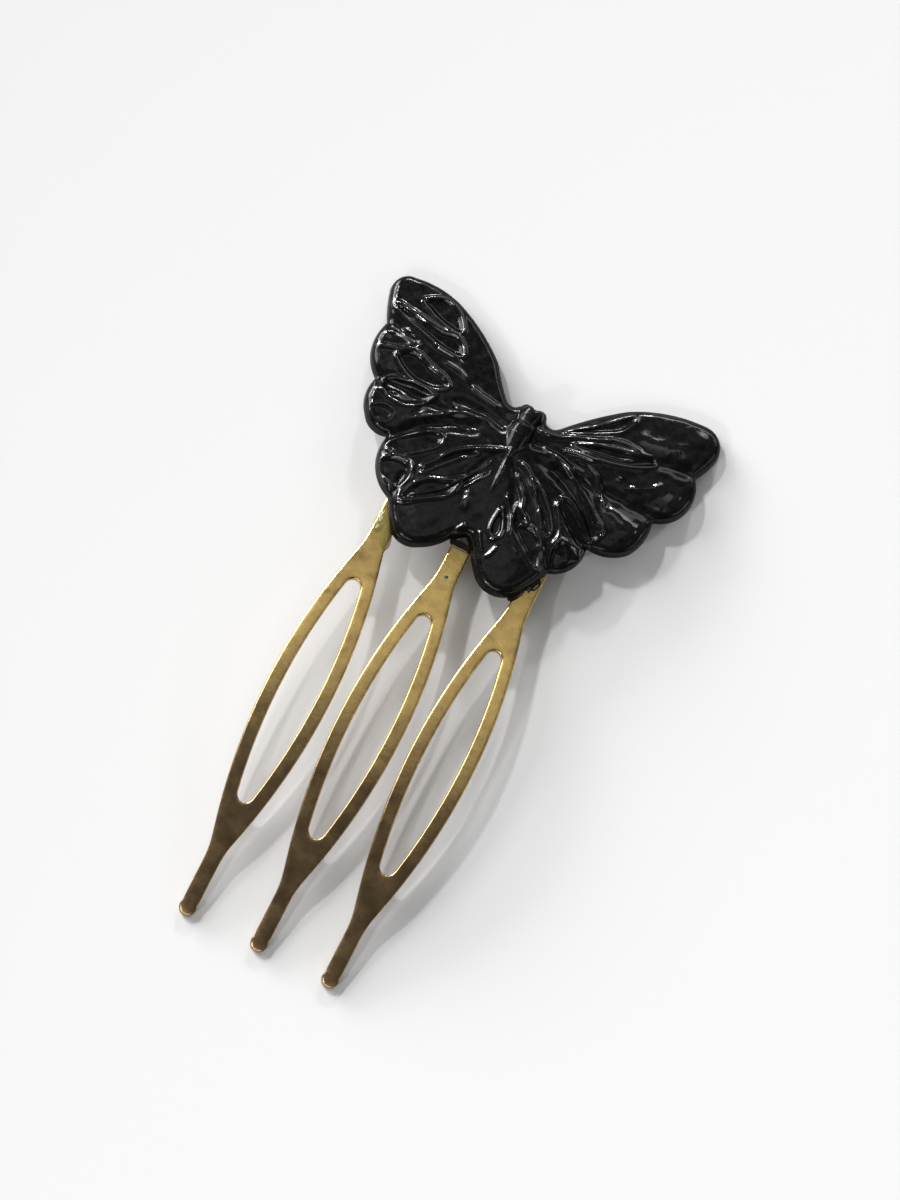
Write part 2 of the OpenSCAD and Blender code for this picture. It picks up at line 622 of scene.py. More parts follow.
@dataclass(frozen=True)
class CastResin:
    """Glossy black casting resin: near black, with crisp small highlights on every vein.

    The veins are rubbed to a polish and the hollows between them stay satin. A faint
    orange-peel skin and a slight bloom keep the shine from looking like glass.

    Attributes:
        black: Colour of clean resin.
        bloom: Colour of the faint grey bloom.
        roughness: Roughness of the polished veins.
        satin: Roughness between them.
        gloss: Specular level of the veins.
        satin_gloss: Specular level between them.
        rim_gloss: Specular level of surfaces seen edge on.
        peel_mm: Size of the skin's ripples.
        peel_depth_mm: Depth of the ripples.
        bloom_mm: Size of the bloom's blotches.
        ior: Index of refraction of common casting resins.
    """

    black: str = "040404"
    bloom: str = "141413"
    roughness: float = 0.07
    satin: float = 0.17
    gloss: float = 0.7
    satin_gloss: float = 0.17
    rim_gloss: float = 0.04
    peel_mm: float = 0.6
    peel_depth_mm: float = 0.04
    bloom_mm: float = 0.7
    ior: float = 1.5

    def material(self) -> bpy.types.Material:
        """Builds the resin.

        The polish attribute blends satin and gloss, and the specular level falls away where
        the surface is seen edge on.

        Returns:
            The material.
        """
        material, tree, shader, place = start_material("black casting resin")
        bloom = add_node(
            tree,
            "ShaderNodeTexNoise",
            {"Scale": 1 / (self.bloom_mm * MM), "Detail": 8.0, "Roughness": 0.75},
            {"Vector": place},
        ).outputs["Fac"]
        stops = [(0.38, linear_rgba(self.black)), (0.70, linear_rgba(self.bloom))]
        colour = add_node(
            tree, "ShaderNodeValToRGB", {"stops": stops}, {"Fac": bloom}
        ).outputs["Color"]
        polish = add_node(
            tree, "ShaderNodeAttribute", {"attribute_name": "polish"}
        ).outputs["Fac"]
        rough = add_node(
            tree,
            "ShaderNodeMapRange",
            {3: self.satin, 4: self.roughness},
            {"Value": polish},
        ).outputs["Result"]
        sheen = add_node(
            tree,
            "ShaderNodeMapRange",
            {3: self.satin_gloss, 4: self.gloss},
            {"Value": polish},
        ).outputs["Result"]
        peel = add_node(
            tree,
            "ShaderNodeTexNoise",
            {"Scale": 1 / (self.peel_mm * MM), "Detail": 3.0, "Roughness": 0.55},
            {"Vector": place},
        ).outputs["Fac"]
        skin = add_node(
            tree,
            "ShaderNodeBump",
            {"Strength": 0.7, "Distance": self.peel_depth_mm * MM},
            {"Height": peel},
        ).outputs["Normal"]
        facing = add_node(tree, "ShaderNodeLayerWeight", {0: 0.5}).outputs["Facing"]
        gloss = add_node(
            tree,
            "ShaderNodeMapRange",
            {"interpolation_type": "SMOOTHSTEP", 1: 0.3, 2: 0.62, 4: self.rim_gloss},
            {"Value": facing, 3: sheen},
        ).outputs["Result"]
        shader.inputs["IOR"].default_value = self.ior
        tree.links.new(gloss, shader.inputs["Specular IOR Level"])
        tree.links.new(colour, shader.inputs["Base Color"])
        tree.links.new(rough, shader.inputs["Roughness"])
        tree.links.new(skin, shader.inputs["Normal"])
        return material


@dataclass(frozen=True)
class SetAdhesive:
    """Clear two-part adhesive that set in a dab: glassy, with an olive-brown depth.

    Attributes:
        name: The material's name.
        tint: Colour of its depth.
        cover: Share of what lies under it that it hides.
        roughness: Roughness of its skin.
        ior: Index of refraction of epoxy.
        wave_mm: Size of the skin's waves.
        wave_depth_mm: Depth of the waves.
    """

    name: str
    tint: str
    cover: float
    roughness: float = 0.06
    ior: float = 1.5
    wave_mm: float = 0.9
    wave_depth_mm: float = 0.1

    def material(self) -> bpy.types.Material:
        """Builds the tinted adhesive with its slightly wavy skin.

        Returns:
            The material.
        """
        material, tree, shader, place = start_material(self.name)
        waves = add_node(
            tree,
            "ShaderNodeTexNoise",
            {"Scale": 1 / (self.wave_mm * MM), "Detail": 2.0},
            {"Vector": place},
        ).outputs["Fac"]
        skin = add_node(
            tree,
            "ShaderNodeBump",
            {"Strength": 0.4, "Distance": self.wave_depth_mm * MM},
            {"Height": waves},
        ).outputs["Normal"]
        shader.inputs["Base Color"].default_value = linear_rgba(self.tint)
        shader.inputs["Alpha"].default_value = self.cover
        shader.inputs["Roughness"].default_value = self.roughness
        shader.inputs["IOR"].default_value = self.ior
        tree.links.new(skin, shader.inputs["Normal"])
        return material


# -------------------------------------------------------------- the comb


@dataclass(frozen=True)
class StampedComb:
    """One-piece comb stamped from sheet and bent to the head.

    Attributes:
        pitch: Distance between prong centres.
        side_r: Radius of the loops' long sides, inside and outside.
        loop_w: Greatest width of a prong.
        loop_mid: Distance from the spine to that width.
        slot_w: Width of a loop's opening.
        slot_len: Length of the opening.
        slot_start: Distance from the spine to the opening.
        end_r: Radius of the opening's ends.
        root_w: Width of a prong's root.
        tail_w: Width of its tail.
        tip_r: Radius of the slightly swollen tip.
        tip_open: How far its round runs past level on each side, in degrees.
        neck: Distance from the tip to the end of the tail's straight sides, in tip radii.
        spine_d: Depth of the spine bar.
        spine_over: How far the bar passes the outer roots.
        pin_r: Radius of the pinhole in the middle root.
        pin_y: Its place below the spine.
        roll: How far the front edge is rolled over by the punch.
        roll_drop: How deep that roll goes.
        pin_roll: Share of the roll that the pinhole's edge has.
        burr: Rounding of the back edge.
        fillet: Spread of the soft maximum that rounds a prong's inner corners.
        crown: How far the front face falls away towards its edges.
        crown_w: Width of that fall.
        step: Spacing of points along the outlines.
        soften: Spread of the average that rounds the outer outline's corners.
        slot_soften: Spread of the one that rounds an opening's corners.
        spacing: Spacing of the points inside the faces.
        clearance: Least distance from those points to an outline.
    """

    pitch: float = 9.0
    side_r: float = 68.0
    loop_w: float = 7.6
    loop_mid: float = 25.0
    slot_w: float = 4.4
    slot_len: float = 27.9
    slot_start: float = 10.9
    end_r: float = 1.1
    root_w: float = 2.5
    tail_w: float = 1.88
    tip_r: float = 1.05
    tip_open: float = 40.0
    neck: float = 1.6
    spine_d: float = 4.5
    spine_over: float = 0.1
    pin_r: float = 0.23
    pin_y: float = -6.0
    roll: float = 0.2
    roll_drop: float = 0.17
    pin_roll: float = 0.12
    burr: float = 0.07
    fillet: float = 0.16
    crown: float = 0.05
    crown_w: float = 0.7
    step: float = 0.22
    soften: float = 0.22
    slot_soften: float = 0.2
    spacing: float = 0.3
    clearance: float = 0.16

    def half_width(self, y: np.ndarray) -> np.ndarray:
        """Gives a prong's half width down its length.

        It is the larger of a round-sided lens and a straight strip (root above the middle of
        the loop, tail below it), blended by a soft maximum so the corners become fillets.

        Args:
            y: Places along the prong, zero at the spine and negative towards the tip.

        Returns:
            The half widths.
        """
        off = y + self.loop_mid
        lens = np.sqrt(self.side_r**2 - off**2) - self.side_r + self.loop_w / 2
        strip = np.where(off > 0, self.root_w / 2, self.tail_w / 2)
        return self.fillet * np.logaddexp(lens / self.fillet, strip / self.fillet)

    def outer_loop(self) -> np.ndarray:
        """Gives the comb's whole outer outline, clockwise from the spine's upper left.

        Each prong runs down one side by its half width, round a circular tip, and back up.

        Returns:
            The closed outline.
        """
        half = self.pitch + self.root_w / 2 + self.spine_over
        runs = [np.array([[-half, self.spine_d], [half, self.spine_d]])]
        tail_end = -REST.prong_len + self.neck * self.tip_r
        y = np.linspace(0, tail_end, 260)
        swing = np.linspace(
            math.radians(self.tip_open), math.radians(-180 - self.tip_open), 40
        )
        tip = np.column_stack([np.cos(swing), np.sin(swing)]) * self.tip_r
        tip[:, 1] += self.tip_r - REST.prong_len
        for centre in (self.pitch, 0.0, -self.pitch):
            w = self.half_width(y)
            runs.append(np.column_stack([centre + w, y]))
            runs.append(tip + [centre, 0])
            runs.append(np.column_stack([centre - w, y])[::-1])
        return even_loop(np.vstack(runs), self.step, self.soften)

    def slot_loop(self, centre: float) -> np.ndarray:
        """Gives one opening's outline, anticlockwise.

        Two long arcs of the loops' side radius meet a small half circle at each end.

        Args:
            centre: The prong's centre.

        Returns:
            The closed outline.
        """
        half = self.slot_len / 2 - self.end_r
        mid = -self.slot_start - self.slot_len / 2
        y = np.linspace(-half, half, 120)
        w = np.sqrt(self.side_r**2 - y**2) - self.side_r + self.slot_w / 2
        swing = np.linspace(0, math.pi, 24)
        cap = np.column_stack([np.cos(swing) * w[-1], half + self.end_r * np.sin(swing)])
        run = np.vstack(
            [np.column_stack([w, y]), cap, np.column_stack([-w, y])[::-1], -cap]
        )
        return even_loop(run + [centre, mid], self.step, self.slot_soften)

    def pin_loop(self) -> np.ndarray:
        """Gives the pinhole's outline, a circle run anticlockwise.

        Returns:
            The closed outline.
        """
        turn = np.linspace(0, 2 * math.pi, 20, endpoint=False)
        ring = np.column_stack([np.cos(turn), np.sin(turn)]) * self.pin_r
        return ring + [0.0, self.pin_y]

    def edge_profile(self, scale: float) -> tuple[np.ndarray, np.ndarray]:
        """Gives the stamped edge's section from the front face round to the back face.

        The front edge is a quarter ellipse as the punch rolls it, the wall is straight, and
        the back edge is a small quarter circle.

        Args:
            scale: Share of the full roll, less for a small hole.

        Returns:
            How far each profile point stands inside the outline, and its height.
        """
        turn = np.linspace(0, math.pi / 2, 7)
        roll, drop = self.roll * scale, self.roll_drop * scale
        burr = self.burr * scale
        front_in = roll * (1 - np.sin(turn))
        front_z = -drop * (1 - np.cos(turn))
        back_in = burr * (1 - np.cos(turn[::2]))
        back_z = -REST.sheet_t + burr * (1 - np.sin(turn[::2]))
        return np.r_[front_in, back_in], np.r_[front_z, back_z]

    def build(self, material: bpy.types.Material) -> bpy.types.Object:
        """Builds the comb as one closed sheet.

        The edge section is carried along each outline, both faces are filled between the
        outlines with evenly sized triangles, the front falls away towards its edges by
        crown * (1 - gap / crown_w)^2, and the whole is bent to the arch.

        Args:
            material: The brass finish.

        Returns:
            The comb's object.
        """
        loops = [(self.outer_loop()[::-1], 1.0)]
        loops += [
            (self.slot_loop(c)[::-1], 1.0) for c in (-self.pitch, 0.0, self.pitch)
        ]
        loops.append((self.pin_loop()[::-1], self.pin_roll))
        plan, depth, faces, front, back = [], [], [], [], []
        start = 0
        for loop, scale in loops:
            inset, height = self.edge_profile(scale)
            normal = outward_normals(loop)
            rows = [loop - normal * d for d in inset]
            plan.append(np.vstack(rows))
            depth.append(np.repeat(height, len(loop)))
            faces += ring_quads(len(inset), len(loop), start)
            front.append(np.arange(len(loop)) + start)
            back.append(np.arange(len(loop)) + start + (len(inset) - 1) * len(loop))
            start += len(inset) * len(loop)
        plan_all, depth_all = np.vstack(plan), np.concatenate(depth)
        for rings, level, flip in ((front, 0.0, False), (back, -REST.sheet_t, True)):
            extra, triangles = self.fill(plan_all, rings, len(plan_all))
            plan_all = np.vstack([plan_all, extra])
            depth_all = np.r_[depth_all, np.full(len(extra), level)]
            faces += [t[::-1] for t in triangles] if flip else triangles
        gap = np.full(len(plan_all), self.crown_w)
        for loop, _ in loops[:-1]:
            gap = np.minimum(gap, nearest_on_path(plan_all, np.vstack([loop, loop[:1]]))[0])
        fall = self.crown * (1 - gap / self.crown_w) ** 2
        depth_all = depth_all - fall * (depth_all > -REST.sheet_t / 2)
        bent = REST.bend(plan_all, depth_all)
        # Painted shade: mark the pinhole's points so the brass paints them near black, in place
        # of the shade inside the hole.
        reach = np.hypot(plan_all[:, 0], plan_all[:, 1] - self.pin_y)
        grime = (reach < 1.05 * self.pin_r).astype(float)
        return make_piece(
            "stamped_comb", bent, faces, material, ["comb"], {"grime": grime}
        )

    def fill(
        self, plan: np.ndarray, rings: list[np.ndarray], start: int
    ) -> tuple[np.ndarray, list[list[int]]]:
        """Fills the face between closed rings with triangles over an even grid of points.

        Args:
            plan: All plan points so far.
            rings: Index rings, the outer one first.
            start: Index that the first new point will have.

        Returns:
            The new inner points, and triangles facing the front.
        """
        ring_points = [plan[r] for r in rings]
        low, high = ring_points[0].min(0), ring_points[0].max(0)
        xs = np.arange(low[0] + self.spacing, high[0], self.spacing)
        ys = np.arange(low[1] + self.spacing, high[1], self.spacing)
        grid = np.stack(np.meshgrid(xs, ys), -1).reshape(-1, 2)
        inside = np.ones(len(grid), bool)
        for number, ring in enumerate(ring_points):
            closed = np.vstack([ring, ring[:1]])
            within = inside_loop(grid, closed)
            inside &= within if number == 0 else ~within
        near = np.vstack(ring_points)
        for block in np.array_split(np.arange(len(grid)), BLOCKS):
            gaps = np.linalg.norm(grid[block, None] - near[None], axis=2).min(1)
            inside[block] &= gaps > self.clearance
        extra = grid[inside]
        points = np.vstack(ring_points + [extra])
        index = np.concatenate(rings + [np.arange(len(extra)) + start])
        loops, first = [], 0
        for ring in ring_points:
            loops.append(list(range(first, first + len(ring))))
            first += len(ring)
        result = delaunay_2d_cdt(
            [Vector(p) for p in points], [], loops, INSIDE_WITH_HOLES, MERGE_MM
        )
        source = [o[0] if o else -1 for o in result[3]]
        triangles = []
        for face in result[2]:
            a, b, c = (points[source[i]] for i in face)
            turn = (b[0] - a[0]) * (c[1] - a[1]) - (b[1] - a[1]) * (c[0] - a[0])
            order = [int(index[source[i]]) for i in face]
            triangles.append(order if turn > 0 else order[::-1])
        return extra, triangles


# ---------------------------------------------------------- the butterfly


@dataclass(frozen=True)
class Ridge:
    """A soft-topped ridge that runs through a few points of one wing.

    Attributes:
        path: Points that it runs through, as distances from the middle and along Y.
        height: Height of the crest, negative for a furrow.
        width: Rough half width of the crest.
        side: +1 for the right wing only, -1 for the left only, 0 for both.
        spread: Spread of the bell, in such half widths.
        fade: Share of the path over which each end fades.
        left_over: Share of the height that is left at the ends.
    """

    path: tuple
    height: float = 0.26
    width: float = 0.25
    side: int = 0
    spread: float = 1.2
    fade: float = 0.12
    left_over: float = 0.35

    def raised(self, points: np.ndarray, side: np.ndarray) -> np.ndarray:
        """Gives the ridge's height at each point: a bell over the distance to its curve.

        The curve through the path is a chain of cubics whose slopes at the points come from
        their neighbours, and the height fades over its last part at both ends.

        Args:
            points: Array of n by 2 with the distance from the middle first.
            side: Array of n, +1 on the right and -1 on the left.

        Returns:
            An array of n heights.
        """
        corners = np.array(self.path, float)
        low, high = corners.min(0) - 3 * self.width, corners.max(0) + 3 * self.width
        near = ((points > low) & (points < high)).all(1)
        near &= (side == self.side) | (self.side == 0)
        raised = np.zeros(len(points))
        if near.any():
            curve = smooth_path(corners)
            gap, share = nearest_on_path(points[near], curve)
            ends = smooth_step(share / self.fade) * smooth_step((1 - share) / self.fade)
            bell = np.exp(-((gap / (self.spread * self.width)) ** 2))
            fading = self.left_over + (1 - self.left_over) * ends
            raised[near] = self.height * bell * fading
        return raised


@dataclass(frozen=True)
class Cell:
    """A sunken pillow between veins with a thin raised rim.

    Attributes:
        loop: Points round the rim, as distances from the middle and along Y.
        depth: Depth of the floor.
        rim: Height of the rim.
        slope: Distance over which the floor falls from the rim.
        side: +1 for the right wing only, -1 for the left only, 0 for both.
        rim_w: Spread of the rim.
    """

    loop: tuple
    depth: float = 0.28
    rim: float = 0.17
    slope: float = 0.7
    side: int = 0
    rim_w: float = 0.25

    def raised(self, points: np.ndarray, side: np.ndarray) -> np.ndarray:
        """Gives the rim's height less the floor's depth at each point.

        Args:
            points: Array of n by 2 with the distance from the middle first.
            side: Array of n, +1 on the right and -1 on the left.

        Returns:
            An array of n heights.
        """
        corners = np.array(self.loop, float)
        curve = smooth_path(np.vstack([corners, corners[:1]]), closed=True)
        near = ((points > curve.min(0) - 1) & (points < curve.max(0) + 1)).all(1)
        near &= (side == self.side) | (self.side == 0)
        raised = np.zeros(len(points))
        if near.any():
            gap, _ = nearest_on_path(points[near], curve)
            within = inside_loop(points[near], curve)
            floor = self.depth * smooth_step(gap / self.slope) * within
            raised[near] = self.rim * np.exp(-((gap / self.rim_w) ** 2)) - floor
        return raised


@dataclass(frozen=True)
class TurnedBody:
    """The butterfly's body: a round form along Y with a leaning head, a keel and two eyes.

    Attributes:
        axis_z: Height of its axis over the casting's back.
        stations: Places along it where its radius is given.
        radii: Its radii there: a tapering abdomen, the waist, the thorax and the head.
        rise: How much taller than round its section is.
        lean: How far the head leans to the right.
        lean_y: Where the lean starts.
        lean_len: Distance over which it grows.
        keel: Height of the thin keel down the abdomen.
        keel_w: Spread of the keel.
        keel_end: Where the keel stops.
        eye: Height of the eyes' bulges.
        eye_r: Spread of each bulge.
        eye_x: Each eye's distance from the middle of the pair.
        eye_mid: Where that middle is.
        eye_y: Place of the eyes along Y.
    """

    axis_z: float = 1.95
    stations: tuple[float, ...] = (
        3.6, 4.4, 6.2, 8.2, 9.4, 10.6, 12.2, 13.4, 14.0, 14.8, 15.8, 16.6
    )
    radii: tuple[float, ...] = (
        0.05, 0.4, 0.75, 0.85, 0.7, 1.2, 1.65, 1.5, 1.2, 1.4, 1.3, 0.5
    )
    rise: float = 1.08
    lean: float = 0.3
    lean_y: float = 12.5
    lean_len: float = 3.0
    keel: float = 0.25
    keel_w: float = 0.28
    keel_end: float = 10.4
    eye: float = 0.25
    eye_r: float = 0.6
    eye_x: float = 0.72
    eye_mid: float = 0.05
    eye_y: float = 15.5

    def height(self, points: np.ndarray) -> np.ndarray:
        """Gives the body's height: its axis height plus a round section.

        Args:
            points: Array of n by 2.

        Returns:
            An array of n heights, zero off the body.
        """
        x, y = points.T
        x = x - self.lean * smooth_step((y - self.lean_y) / self.lean_len)
        r = np.interp(y, self.stations, self.radii, left=0.0, right=0.0)
        top = np.sqrt(np.maximum(r**2 - x**2, 0))
        keel = self.keel * np.exp(-((x / self.keel_w) ** 2)) * (y < self.keel_end)
        eyes = np.hypot(np.abs(x - self.eye_mid) - self.eye_x, y - self.eye_y)
        bulbs = self.eye * np.exp(-((eyes / self.eye_r) ** 2))
        return np.where(r > np.abs(x), self.axis_z + top * self.rise + keel + bulbs, 0.0)


@dataclass(frozen=True)
class CastButterfly:
    """One-piece casting with a flat back, made in an open mould.

    The two wings were carved by hand, so each has its own outline and its own veins.

    Attributes:
        hub: Point that the surface's rays start from.
        rays: Number of rays round the outline.
        rings: Number of rings from the hub to the outline.
        edge_z: Height of the side wall.
        margin: Width of the rounded margin.
        wing_t: Thickness of the outer wing.
        hub_t: Extra thickness near the body.
        hub_r: How far from the hub that spreads.
        pillow: Extra height in the middle of a lobe.
        pillow_w: Distance from the outline at which it is full.
        swell: Height of the casting's broad unevenness.
        ripple: Height of its finer unevenness.
        least: Least height over the side wall.
        draft: How far the back edge stands out from the wall's top.
        blend: Spread of the soft maximum that joins the body to the wings.
        crest: Height of a vein from which it is fully polished.
        crowd: How strongly the rings crowd towards the outline.
        step: Spacing of points along the outline.
        soften: Spread of the average that rounds its corners.
        wall: Steps down the side wall: shares of the draft and of the wall's height.
        body: The body between the wings.
        right: Arcs of the right outline from head to tail: start, end and bulge.
        left: Arcs of the left outline from head to tail, with X as a distance.
        ridges: Veins and furrows.
        cells: Sunken cells.
    """

    hub: tuple[float, float] = (0.0, 9.2)
    rays: int = 730
    rings: int = 124
    edge_z: float = 0.7
    margin: float = 0.95
    wing_t: float = 1.62
    hub_t: float = 0.85
    hub_r: float = 9.0
    pillow: float = 0.45
    pillow_w: float = 4.4
    swell: float = 0.03
    ripple: float = 0.015
    least: float = 0.2
    draft: float = 0.1
    blend: float = 0.1
    crest: float = 0.12
    crowd: float = 0.3
    step: float = 0.1
    soften: float = 0.16
    wall: tuple = ((0.35, 0.6), (0.75, 0.28), (1.0, 0.05))
    body: TurnedBody = TurnedBody()
    right: tuple = (
        ((2.15, 15.9), (2.7, 15.35), -0.15),
        ((2.7, 15.35), (3.7, 15.6), -0.12),
        ((3.7, 15.6), (10.0, 21.6), 0.22),
        ((10.0, 21.6), (19.3, 24.45), 0.65),
        ((19.3, 24.45), (21.9, 21.3), 0.95),
        ((21.9, 21.3), (20.5, 18.2), 0.15),
        ((20.5, 18.2), (18.3, 11.1), 2.05),
        ((18.3, 11.1), (17.4, 6.2), 0.55),
        ((17.4, 6.2), (12.8, 4.65), 0.6),
        ((12.8, 4.65), (10.0, -0.15), 1.1),
        ((10.0, -0.15), (7.7, -4.4), 0.15),
        ((7.7, -4.4), (3.0, -4.6), 1.0),
        ((3.0, -4.6), (0.9, -1.5), 0.15),
    )
    left: tuple = (
        ((1.65, 16.0), (2.0, 15.6), -0.1),
        ((2.0, 15.6), (3.0, 15.9), -0.12),
        ((3.0, 15.9), (5.8, 19.5), -0.1),
        ((5.8, 19.5), (13.0, 24.0), 0.4),
        ((13.0, 24.0), (19.0, 24.4), 0.42),
        ((19.0, 24.4), (21.0, 21.8), 0.85),
        ((21.0, 21.8), (19.5, 18.0), 0.12),
        ((19.5, 18.0), (17.7, 11.3), 1.2),
        ((17.7, 11.3), (16.9, 6.9), 0.6),
        ((16.9, 6.9), (13.4, 5.7), 0.72),
        ((13.4, 5.7), (10.1, -0.8), 1.4),
        ((10.1, -0.8), (7.9, -4.3), 0.12),
        ((7.9, -4.3), (4.6, -4.45), 0.55),
        ((4.6, -4.45), (1.7, -1.7), 0.3),
        ((1.7, -1.7), (0.9, -1.2), 0.05),
    )
    cells: tuple = (
        Cell(((17.0, 21.9), (16.0, 22.9), (14.5, 23.5), (12.6, 22.8), (11.2, 21.0),
              (11.8, 20.2), (14.0, 20.5), (15.6, 21.1)), 0.3, 0.2, side=-1),
        Cell(((20.2, 20.2), (17.8, 20.2), (15.3, 19.9), (13.4, 19.7), (11.4, 19.9),
              (10.2, 18.8), (9.9, 17.8), (12.0, 17.5), (15.6, 18.4), (18.4, 19.2)), 0.26, 0.2,
             side=-1),
        Cell(((16.9, 14.5), (15.9, 15.6), (14.4, 15.8), (12.8, 15.2), (10.4, 14.5),
              (9.75, 13.6), (11.0, 12.7), (13.6, 12.5), (15.6, 13.3)), 0.3, 0.2, side=-1),
        Cell(((16.6, 11.6), (14.4, 12.25), (11.6, 12.3), (10.6, 12.0), (11.6, 10.5),
              (13.2, 9.4), (15.2, 9.4), (16.6, 10.2)), 0.28, 0.17, side=-1),
        Cell(((16.9, 7.6), (15.6, 8.5), (14.0, 8.2), (14.2, 6.9), (15.7, 6.4)), 0.12, 0.06,
             side=-1),
        Cell(((13.1, 4.0), (12.4, 5.5), (10.4, 7.2), (8.6, 8.2), (7.5, 7.8), (7.7, 6.6),
              (9.6, 4.9), (11.6, 3.7)), 0.24, 0.2),
        Cell(((12.9, 2.5), (11.4, 3.5), (9.7, 3.5), (9.1, 2.4), (9.5, 0.6), (10.6, 0.1),
              (12.3, 0.9)), 0.26, 0.16),
        Cell(((8.2, 4.2), (6.5, 6.4), (4.2, 8.1), (3.2, 7.9), (4.6, 6.6), (6.6, 4.4),
              (8.0, 2.9)), 0.14, 0.1),
        Cell(((8.8, -1.0), (8.6, 0.8), (7.2, 2.6), (4.9, 3.6), (3.4, 4.6), (4.0, 2.2),
              (5.9, 0.6)), 0.2, 0.14),
        Cell(((1.7, 1.6), (2.0, 3.4), (2.9, 2.0), (3.2, 0.7), (2.7, 0.0), (2.0, 0.4)),
             0.22, 0.2, 0.45, 1),
        Cell(((4.8, 15.6), (7.4, 17.8), (9.6, 20.0), (10.9, 21.1), (11.4, 20.4),
              (10.4, 18.6), (8.2, 17.2), (6.0, 16.0)), 0.22, 0.16, 0.5, 1),
        Cell(((6.0, 14.3), (9.0, 15.9), (13.0, 17.0), (15.2, 17.6), (15.8, 16.9),
              (14.4, 15.8), (11.6, 14.7), (8.6, 14.1)), 0.2, 0.18, 0.6, 1),
    )
    ridges: tuple = (
        Ridge(((17.4, 17.8), (15.4, 17.5), (15.2, 16.3), (17.0, 15.3), (19.6, 14.6)),
              side=-1),
        Ridge(((15.0, 19.6), (17.0, 19.9), (19.8, 20.7)), 0.18, side=-1),
        Ridge(((14.4, 19.2), (17.2, 19.3), (19.2, 19.6)), 0.16, 0.16, -1),
        Ridge(((18.2, 16.3), (19.0, 16.4), (18.2, 17.0)), 0.16, side=-1),
        Ridge(((17.3, 9.8), (16.0, 10.1), (14.6, 10.5)), 0.2, 0.22, -1),
        Ridge(((12.2, 21.4), (15.6, 22.4), (20.2, 22.4)), 0.12, 0.9, 1),
        Ridge(((12.4, 18.9), (16.0, 19.6), (19.8, 20.2)), 0.14, 0.7, 1),
        Ridge(((14.2, 13.6), (17.2, 14.6), (20.2, 14.6)), 0.2, 0.8, 1),
        Ridge(((12.8, 9.4), (15.2, 8.8), (17.2, 8.6)), 0.2, 0.6, 1),
        Ridge(((14.0, 11.4), (16.4, 11.6), (18.8, 12.4)), 0.14, 0.5, 1),
        Ridge(((9.9, 3.6), (11.0, 2.4), (11.6, 1.2)), 0.16, 0.4, 1),
        Ridge(((8.5, 15.6), (9.6, 16.1), (11.6, 16.3)), 0.16, 0.25, -1),
        Ridge(((3.6, 14.4), (5.6, 14.6), (7.6, 15.0)), 0.16, 0.25, -1),
        Ridge(((9.6, 17.0), (11.4, 17.5), (13.8, 17.5)), 0.2),
        Ridge(((1.7, 14.0), (3.8, 14.3), (6.0, 15.3), (8.8, 16.5), (9.9, 17.2)), 0.4, 0.24, 1),
        Ridge(((5.2, 13.2), (7.0, 13.6), (9.6, 13.9)), 0.3, 0.2, 1),
        Ridge(((6.2, 14.3), (8.4, 14.6), (11.4, 15.2), (13.2, 16.0)), 0.2, 0.18, 1),
        Ridge(((6.4, 12.7), (8.2, 12.9), (10.0, 12.2), (11.2, 11.0), (12.8, 8.9)), 0.24, 0.22, 1),
        Ridge(((8.8, 11.7), (10.4, 11.0), (11.4, 9.9)), 0.18, 0.2, 1),
        Ridge(((3.4, 12.4), (6.2, 11.8), (9.4, 9.9), (12.0, 7.9), (13.3, 7.0), (13.5, 5.8)),
              0.34, 0.22, 1),
        Ridge(((3.4, 12.3), (7.0, 11.6), (9.9, 9.8), (11.8, 8.4)), 0.24, 0.3, -1),
        Ridge(((13.8, 12.7), (15.4, 13.4), (17.2, 14.7)), 0.16, 0.22, 1),
        Ridge(((0.4, 10.0), (2.0, 9.2), (4.0, 8.2), (6.0, 6.7), (7.2, 5.0), (8.3, 3.6)),
              0.34, 0.2, -1),
        Ridge(((4.6, 7.0), (6.4, 5.0), (8.2, 2.6)), 0.2, 0.18, -1),
        Ridge(((1.5, 8.0), (2.2, 6.5), (3.4, 4.6), (4.6, 3.0)), 0.28, 0.18, -1),
        Ridge(((1.0, 6.7), (1.8, 5.4), (3.0, 3.6)), 0.2, 0.16, -1),
        Ridge(((4.5, 2.9), (6.2, 1.4), (8.1, 0.1)), 0.26, 0.16, -1),
        Ridge(((4.6, 1.5), (6.8, 0.1), (9.1, -1.3)), 0.3, 0.18, -1),
        Ridge(((9.5, 3.3), (8.9, 2.0), (9.3, 0.4), (9.1, -1.1)), 0.26, 0.2, -1),
        Ridge(((2.0, 3.4), (2.1, 2.4), (1.7, 1.3)), 0.08, 0.3, -1),
        Ridge(((1.6, 9.4), (3.0, 8.6), (4.0, 7.7), (4.8, 6.7)), 0.34, 0.22, 1),
        Ridge(((1.6, 8.2), (2.6, 6.9), (3.6, 5.7), (4.2, 4.3), (5.4, 3.5)), 0.3, 0.22, 1),
        Ridge(((4.5, 2.6), (5.6, 2.9), (6.4, 3.1)), 0.18, 0.2, 1),
        Ridge(((1.7, 5.2), (2.8, 3.9), (3.7, 2.2), (4.1, 1.0)), 0.3, 0.17, 1),
        Ridge(((5.8, 5.5), (6.5, 4.2), (7.2, 3.2)), 0.18, 0.17, 1),
        Ridge(((7.5, 1.8), (8.2, 0.6), (8.8, -0.8)), 0.22, 0.17, 1),
        Ridge(((7.1, 7.2), (8.2, 5.6), (9.2, 4.0), (9.0, 2.5)), 0.26, 0.18, 1),
        Ridge(((0.9, 0.1), (1.4, -0.9), (2.1, -2.1)), 0.26, 0.17),
        Ridge(((3.5, -0.7), (3.2, -1.6), (2.8, -2.4)), 0.22, 0.17, 1),
        Ridge(((5.2, 0.1), (5.8, -0.4)), 0.12, 0.16, 1),
